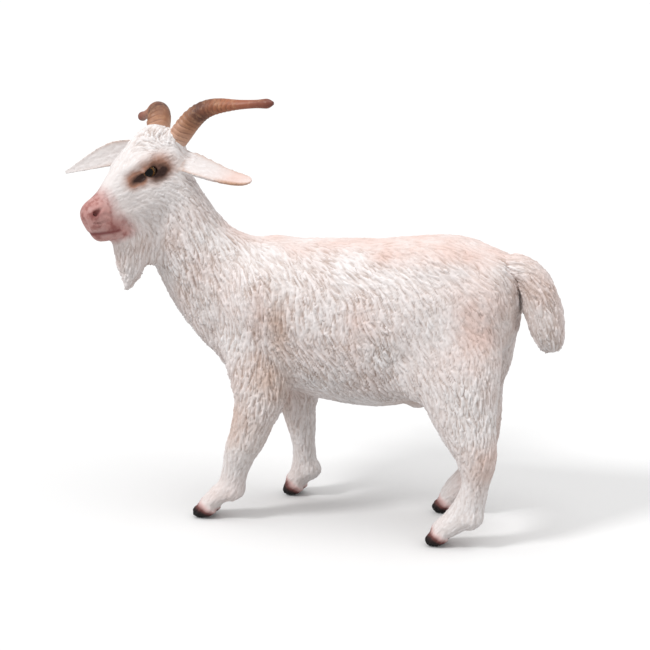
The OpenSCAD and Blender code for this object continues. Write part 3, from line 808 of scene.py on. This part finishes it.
def make_coat():
    """The furred surface, parted at the seams: {piece: (points, faces, loop normals, paint)}."""
    points, quads, paint = furred(build_field(), BODY_SEED)
    points[:, 2] = np.maximum(points[:, 2], 0)

    label = np.zeros(len(quads), dtype=int)
    names, middles, facings = ["torso"], [None], [None]
    for name, middle, facing, possible in seams(points):
        past = (points - middle) @ facing
        label[possible[quads].all(1) & (past[quads].mean(1) > 0)] = len(names)
        names.append(name)
        middles.append(middle)
        facings.append(facing)
    # The edge between two pieces is drawn straight onto the seam
    a = quads.ravel()
    b = np.roll(quads, -1, axis=1).ravel()
    owner = np.repeat(label, 4)
    key = np.minimum(a, b) * len(points) + np.maximum(a, b)
    order = np.argsort(key, kind="stable")
    same = key[order][1:] == key[order][:-1]
    first, second = order[:-1][same], order[1:][same]
    parted = owner[first] != owner[second]
    first, second = first[parted], second[parted]
    seam = np.maximum(owner[first], owner[second])
    for k in range(1, len(names)):
        edge = np.unique(np.r_[a[first[seam == k]], b[first[seam == k]]])
        gap = (points[edge] - middles[k]) @ facings[k]
        points[edge] -= gap[:, None] * facings[k]
    normals = vertex_normals(points, quads)

    pieces = {}
    for k, name in enumerate(names):
        own = quads[label == k]
        used, local = np.unique(own, return_inverse=True)
        local = local.reshape(-1, 4)
        own_points = points[used]
        # Each seam is closed by triangles round a hub in its middle
        faces, loop_normals, hubs = local.tolist(), [normals[own.ravel()]], {}
        for s in range(1, len(names)):
            for one, two in ((first, second), (second, first)):
                mine = one[(seam == s) & (owner[one] == k)]
                if not len(mine):
                    continue
                start, end = np.searchsorted(used, a[mine]), np.searchsorted(used, b[mine])
                if s not in hubs:
                    ring = np.unique(np.r_[start, end])
                    hubs[s] = (len(used) + len(hubs), own_points[ring].mean(0))
                faces += np.c_[end, start, np.full(len(start), hubs[s][0])].tolist()
                loop_normals.append(np.tile(facings[s] * (1 if s != k else -1), (3 * len(start), 1)))
        values = {key: np.r_[v[used], np.full(len(hubs), 0.5)] for key, v in paint.items()}
        own_points = np.vstack([own_points, *(place for _, place in hubs.values())])
        pieces[name] = (own_points, faces, np.vstack(loop_normals), values)
    return pieces


def make_let_in(mesh, seed):
    """A furred form that is a piece of its own, let into its neighbour: the tail or an ear."""
    margin = 2.0
    field = Field(mesh[0].min(0) - margin, mesh[0].max(0) + margin)
    field.join(mesh, 0.5)
    points, quads, paint = furred(field, seed)
    return points, quads.tolist(), None, paint


def add_piece(name, points, faces, loop_normals=None, values=None):
    mesh = bpy.data.meshes.new(name)
    mesh.from_pydata(((points + SHIFT) * MM).tolist(), [], faces)
    mesh.polygons.foreach_set("use_smooth", np.ones(len(mesh.polygons), dtype=bool))
    if loop_normals is not None:
        mesh.normals_split_custom_set(loop_normals.tolist())
    for key, value in (values or {}).items():
        attribute = mesh.attributes.new(key, "FLOAT", "POINT")
        attribute.data.foreach_set("value", np.ascontiguousarray(value, dtype=np.float32))
    mesh.update()
    piece = bpy.data.objects.new(name, mesh)
    bpy.context.scene.collection.objects.link(piece)
    return piece


# ---------------------------------------------------------------- horns and eyes

def make_horn(name, rows, hand):
    """A ringed horn, let into the poll. Rings crowd the front of its lower half."""
    sides, ring_gap, ring_relief = 56, 0.95, 0.22
    fine = spline(in_head(rows, hand), 5)
    across, upward = square_to(headings(fine[:, :3]), HEAD_FORWARD)
    length = np.r_[0, np.cumsum(np.linalg.norm(np.diff(fine[:, :3], axis=0), axis=1))]
    along = length / length[-1]
    angle = turn(sides)
    u, v = np.cos(angle)[None, :], np.sin(angle)[None, :]
    s = length[:, None]
    # The ring's edge wavers round the horn, and the rings fade towards the back and the tip
    waver = 0.35 * np.sin(angle * 2 + 1.3)[None, :] + 0.1 * np.sin(s * 2.3)
    phase = (s + waver) / ring_gap
    saw = phase - np.floor(phase)
    ring = np.minimum(saw / 0.75, (1 - saw) / 0.25)
    front = 0.15 + 0.85 * step_up(u, -0.4, 0.7)
    fade = step_up(along, 0.02, 0.12) * (1 - step_up(along, 0.5, 0.78))
    relief = (ring_relief * (ring - 0.5)) * front * fade[:, None]
    keel = 1 + 0.1 * step_up(u, 0.4, 1.0) * (1 - along[:, None])
    half_w, half_h = np.maximum(fine[:, 3:5], THINNEST).T[:, :, None]
    unrolled = np.c_[np.repeat(length, sides) * 0.35, np.tile(angle, len(fine)) * 2.2,
                     np.zeros(len(fine) * sides)]
    relief = relief + 0.03 * noise(unrolled, 1.0, 77).reshape(-1, sides)
    points = (fine[:, None, :3] + across[:, None, :] * ((half_w * keel + relief) * u)[..., None]
              + upward[:, None, :] * ((half_h + relief) * v)[..., None])
    skin_points, triangles = skin(points)
    paint = {"along": np.r_[np.repeat(along, sides), 0.0, 1.0],
             "ring": np.r_[ring.ravel(), 0.5, 0.5],
             "front": np.r_[(front * np.ones_like(s)).ravel(), 0.5, 0.5]}
    return add_piece(name, skin_points, triangles.tolist(), None, paint)


def make_eye(name, hand):
    """A glossy eyeball with its iris and pupil painted round the way it looks."""
    centre = head_side(hand)(*EYE)
    gaze = head_way(hand * 0.93, 0.36, 0.06)
    across = unit(np.cross(gaze, HEAD_UP))
    upward = np.cross(across, gaze)
    rounds, sides = 28, 48
    tilt = np.linspace(0.0, math.pi, rounds)[1:-1]
    angle = turn(sides)
    bulge = 1 + 0.05 * np.exp(-(tilt / 0.45) ** 2)
    ring = (centre + (EYE_RADIUS * bulge * np.cos(tilt))[:, None, None] * gaze
            + (EYE_RADIUS * np.sin(tilt))[:, None, None]
            * (np.cos(angle)[None, :, None] * across + np.sin(angle)[None, :, None] * upward))
    points, triangles = skin(ring)
    tilts = np.r_[np.repeat(tilt, sides), 0.0, math.pi]
    return add_piece(name, points, triangles[:, ::-1].tolist(), None, {"tilt": tilts / math.pi})


# ---------------------------------------------------------------- materials

def linear(*rgb):
    """A colour given as 0 to 255 screen values, as the shader wants it."""
    shares = [c / 255 for c in rgb]
    out = [c / 12.92 if c <= 0.04045 else ((c + 0.055) / 1.055) ** 2.4 for c in shares]
    return (*out, 1.0)


class Paint:
    """A small helper for building one material's nodes."""

    def __init__(self, name):
        self.material = bpy.data.materials.new(name)
        self.material.use_nodes = True
        self.tree = self.material.node_tree
        self.shader = self.tree.nodes["Principled BSDF"]

    def node(self, kind, **values):
        node = self.tree.nodes.new(kind)
        for key, value in values.items():
            setattr(node, key, value)
        return node

    def link(self, source, target):
        self.tree.links.new(source, target)

    def feed(self, socket, item):
        """Puts a number or a screen colour on a socket, or links another node's output to it."""
        if isinstance(item, (tuple, int, float)):
            socket.default_value = linear(*item) if isinstance(item, tuple) else item
        else:
            self.link(item, socket)

    def shade(self, name, item):
        self.feed(self.shader.inputs[name], item)

    def value(self, name):
        return self.node("ShaderNodeAttribute", attribute_name=name).outputs["Fac"]

    def math(self, operation, a, b):
        node = self.node("ShaderNodeMath", operation=operation, use_clamp=True)
        self.feed(node.inputs[0], a)
        self.feed(node.inputs[1], b)
        return node.outputs[0]

    def patchy(self, amount, texture, *span):
        """An amount of paint that a texture breaks up."""
        return self.math("MULTIPLY", amount, self.remap(texture, *span))

    def mix(self, amount, a, b):
        node = self.node("ShaderNodeMix", data_type="RGBA")
        for name, item in (("Factor", amount), ("A", a), ("B", b)):
            self.feed(node.inputs[name], item)
        return node.outputs["Result"]

    def noise(self, scale, detail=3.0, rough=0.55):
        where = self.node("ShaderNodeTexCoord").outputs["Object"]
        node = self.node("ShaderNodeTexNoise")
        node.inputs["Scale"].default_value = scale
        node.inputs["Detail"].default_value = detail
        node.inputs["Roughness"].default_value = rough
        self.link(where, node.inputs["Vector"])
        return node.outputs["Fac"]

    def remap(self, source, low, high, to_low=0.0, to_high=1.0):
        node = self.node("ShaderNodeMapRange")
        self.link(source, node.inputs["Value"])
        for key, item in (("From Min", low), ("From Max", high), ("To Min", to_low),
                          ("To Max", to_high)):
            node.inputs[key].default_value = item
        return node.outputs["Result"]

    def ramp(self, source, stops):
        node = self.node("ShaderNodeValToRGB")
        elements = node.color_ramp.elements
        while len(elements) < len(stops):
            elements.new(0.5)
        for element, (place, colour) in zip(elements, stops):
            element.position = place
            element.color = linear(*colour)
        self.link(source, node.inputs["Fac"])
        return node.outputs["Color"]

    def bump(self, height, strength, distance):
        node = self.node("ShaderNodeBump")
        node.inputs["Strength"].default_value = strength
        node.inputs["Distance"].default_value = distance
        self.link(height, node.inputs["Height"])
        self.link(node.outputs["Normal"], self.shader.inputs["Normal"])


def coat_material():
    p = Paint("coat")
    white, crest_highlight = (228, 221, 219), (244, 240, 240)
    pink, tan_and_shade = (228, 203, 195), (194, 163, 144)
    hollow_wash_and_shade = (166, 141, 126)
    mottle = p.noise(260, 4)
    grain = p.noise(1500, 4)
    crest = p.value("crest")
    # Painted highlight: the crests of the tufts are made lighter
    colour = p.mix(p.remap(crest, 0.35, 0.85, 0, 0.9), white, crest_highlight)
    colour = p.mix(p.patchy(p.value("pink"), mottle, 0.3, 0.62, 0.45, 1.0), colour, pink)
    # Tan wash and painted shade
    colour = p.mix(p.patchy(p.value("tan_and_shade"), mottle, 0.25, 0.6, 0.4, 0.95), colour, tan_and_shade)
    # Thinned brown, and painted shade with it, sit in the hollows between tufts and in the cuts
    hollow = p.math("MULTIPLY", p.remap(crest, 0.4, 0.02, 0, 0.36), p.value("fur"))
    colour = p.mix(p.patchy(hollow, mottle, 0.3, 0.65, 0.35, 1.0), colour, hollow_wash_and_shade)
    cut_wash_and_shade = p.math("MULTIPLY", p.remap(p.value("cut"), 0.3, 0.95, 0, 0.7), p.value("fur"))
    colour = p.mix(p.patchy(cut_wash_and_shade, mottle, 0.3, 0.6, 0.25, 1.0), colour, hollow_wash_and_shade)
    # The ears' insides, with painted shade along the near ear's lower edge
    colour = p.mix(p.patchy(p.value("inner_and_edge_shade"), mottle, 0.2, 0.6, 0.5, 1.0), colour,
                   (190, 150, 126))
    colour = p.mix(p.remap(p.value("halo"), 0.14, 0.62, 0, 0.9), colour, (160, 106, 78))
    colour = p.mix(p.remap(p.value("core"), 0.3, 0.72, 0, 1), colour, (52, 27, 19))
    rose = p.value("rose")
    folds = p.noise(700, 3)
    for texture, *span, over in ((mottle, 0.2, 0.6, 0.7, 1.0, (188, 137, 131)),
                                 (folds, 0.46, 0.62, 0, 0.7, (146, 84, 78)),
                                 (grain, 0.5, 0.72, 0, 0.35, (222, 170, 160))):
        colour = p.mix(p.patchy(rose, texture, *span), colour, over)
    # Painted shade in the nostril and between the lips
    colour = p.mix(p.value("deep"), colour, (118, 52, 50))
    hoof = p.ramp(p.value("hoof"), [(0.0, (238, 226, 224)), (0.3, (212, 180, 176)),
                                    (0.5, (116, 70, 66)), (0.68, (46, 26, 24)),
                                    (0.86, (15, 11, 11))])
    colour = p.mix(p.remap(p.value("hoof"), 0.02, 0.3), colour, hoof)
    p.shade("Base Color", colour)
    p.shade("Roughness", p.remap(mottle, 0.3, 0.7, 0.5, 0.68))
    p.shade("Specular IOR Level", 0.35)
    p.bump(grain, 0.25, 0.00006)
    return p.material


def horn_material():
    p = Paint("horn")
    along, ring = p.value("along"), p.value("ring")
    streak = p.noise(900, 5)
    blotch = p.noise(220, 3)
    place = p.math("ADD", along, p.remap(blotch, 0.3, 0.7, -0.04, 0.06))
    colour = p.ramp(place, [(0.0, (212, 182, 164)), (0.14, (190, 146, 122)),
                            (0.25, (160, 110, 80)), (0.38, (92, 54, 38)),
                            (0.58, (160, 98, 66)), (0.8, (150, 86, 62)),
                            (1.0, (112, 58, 46))])
    colour = p.mix(p.remap(streak, 0.5, 0.75, 0, 0.4), colour, (206, 160, 124))
    # Painted shade in the grooves between the rings, on the front of the horn, fading out towards the
    # tip
    shade = p.math("MULTIPLY", p.remap(ring, 0.35, 0.0, 0, 0.7), p.value("front"))
    fade = p.math("MULTIPLY", shade, p.remap(along, 0.6, 0.75, 1, 0))
    colour = p.mix(fade, colour, (92, 52, 38))
    p.shade("Base Color", colour)
    p.shade("Roughness", p.remap(blotch, 0.3, 0.7, 0.38, 0.55))
    p.bump(streak, 0.3, 0.00008)
    return p.material


def eye_material():
    p = Paint("eye")
    tilt = p.value("tilt")
    flecks = p.noise(2500, 2)
    place = p.math("ADD", tilt, p.remap(flecks, 0.3, 0.7, -0.012, 0.012))
    # Pupil, iris, its dark rim, and the white towards the corners
    colour = p.ramp(place, [(0.0, (5, 4, 4)), (0.165, (6, 5, 4)),
                            (0.19, (58, 34, 18)), (0.235, (150, 108, 60)),
                            (0.27, (50, 28, 16)), (0.32, (200, 176, 150)),
                            (0.42, (80, 48, 34))])
    p.shade("Base Color", colour)
    p.shade("Roughness", 0.14)
    p.shade("Specular IOR Level", 0.2)
    return p.material


# ---------------------------------------------------------------- assembly

coat, horn, eye = coat_material(), horn_material(), eye_material()


def finish_piece(piece, material, slot, *nodes):
    piece.data.materials.append(material)
    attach(piece, "root")
    if nodes:
        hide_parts(*nodes)


for piece_name, parts in make_coat().items():
    finish_piece(add_piece(piece_name + "_coat", *parts), coat, "coat", piece_name)
tail_parts = make_let_in(loft(TAIL, LEFT), TAIL_SEED)
finish_piece(add_piece("tail_coat", *tail_parts), coat, "coat", "tail")
for side, (hand, ear_rows, broad) in EARS.items():
    ear_form = loft(in_head(ear_rows[EAR_START:], hand), broad, section=leaf)
    ear_parts = make_let_in(ear_form, EAR_SEED + hand)
    finish_piece(add_piece("ear_" + side + "_coat", *ear_parts), coat, "coat", "ear_" + side)
for hand, side, horn_rows in ((1, "left", HORN_LEFT), (-1, "right", HORN_RIGHT)):
    finish_piece(make_horn("horn_shell_" + side, horn_rows, hand), horn, "horn", "horn_" + side)
    finish_piece(make_eye("eye_" + side, hand), eye, "eye")


# ---------------------------------------------------------------- floor, light and camera

# What the camera looks at in millimetres, how far off it stands in metres, and its lens
CAMERA_TARGET, CAMERA_DISTANCE, CAMERA_LENS = np.array([0, -7.7, 38]), 0.4, 116.3
# The floor is white to the eye, but a dimmer reflector, so that the goat's underside stays in shade
FLOOR_SEEN, FLOOR_FELT = (233, 233, 233), (190, 190, 190)


def add_floor():
    bpy.ops.mesh.primitive_plane_add(size=6, location=(0, 0, 0))
    floor = bpy.context.object
    floor.name = "floor"
    p = Paint("floor")
    seen = p.node("ShaderNodeLightPath").outputs["Is Camera Ray"]
    p.shade("Base Color", p.mix(seen, FLOOR_FELT, FLOOR_SEEN))
    p.shade("Roughness", 0.9)
    p.shade("Specular IOR Level", 0.1)
    floor.data.materials.append(p.material)


def add_aimed(data, azimuth, elevation, target=Vector((0, 0, 0)), distance=1.0):
    """A lamp or a camera that faces the target from an azimuth and an elevation in degrees."""
    thing = bpy.data.objects.new(data.name, data)
    bpy.context.scene.collection.objects.link(thing)
    a, e = math.radians(azimuth), math.radians(elevation)
    way = Vector((math.sin(a) * math.cos(e), -math.cos(a) * math.cos(e), math.sin(e)))
    thing.location = target + way * distance
    thing.rotation_euler = way.to_track_quat("Z", "Y").to_euler()
    return thing


def add_light(name, spread, strength, azimuth, elevation):
    data = bpy.data.lights.new(name, "SUN")
    data.angle = math.radians(spread)
    data.energy = strength
    add_aimed(data, azimuth, elevation)


def add_camera(azimuth, elevation):
    data = bpy.data.cameras.new("camera")
    data.sensor_width = 36
    data.lens = CAMERA_LENS
    data.clip_start, data.clip_end = 0.01, 20
    target = Vector((CAMERA_TARGET + SHIFT) * MM)
    bpy.context.scene.camera = add_aimed(data, azimuth, elevation, target, CAMERA_DISTANCE)


def set_world():
    world = bpy.data.worlds.new("studio")
    world.use_nodes = True
    background = world.node_tree.nodes["Background"]
    background.inputs["Color"].default_value = (1, 1, 1, 1)
    background.inputs["Strength"].default_value = 0.7
    bpy.context.scene.world = world
    bpy.context.scene.view_settings.view_transform = "Standard"


add_floor()
set_world()
add_light("key", spread=12, strength=1.3, azimuth=50, elevation=45)
add_light("top", spread=45, strength=1.0, azimuth=150, elevation=78)
add_camera(azimuth=109.5, elevation=14.8)
